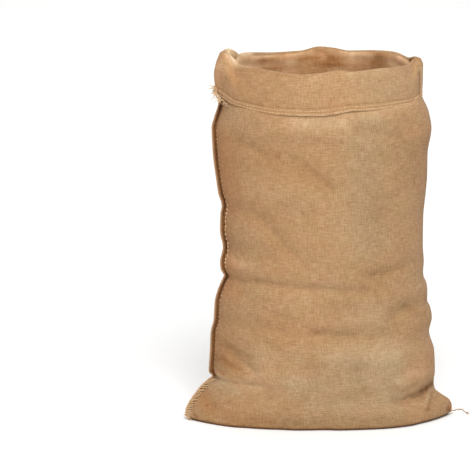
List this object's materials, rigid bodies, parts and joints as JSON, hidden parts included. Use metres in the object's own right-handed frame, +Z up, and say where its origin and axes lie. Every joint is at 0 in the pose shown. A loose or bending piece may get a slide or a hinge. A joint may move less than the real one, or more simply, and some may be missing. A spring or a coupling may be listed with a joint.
{
  "type": "hessian sack",
  "caption": "Tall open hessian sack standing empty, mouth turned down as a hemmed cuff, side and bottom overcast with jute twine, bottom corners sticking out.",
  "frame": {"origin": "on the floor, under the middle of the sack", "axes": "+Z up towards the mouth, -Y towards the front, +X towards the folded edge, -X towards the sewn edge"},
  "size_m": [0.6406, 0.2946, 0.8344],
  "materials": {
    "hessian": "open plain weave of natural jute",
    "jute_twine": "loose two-ply jute"
  },
  "bodies": {
    "root": {"sack_cloth": "hessian", "twine_tail": "jute_twine"}
  },
  "joints": []
}
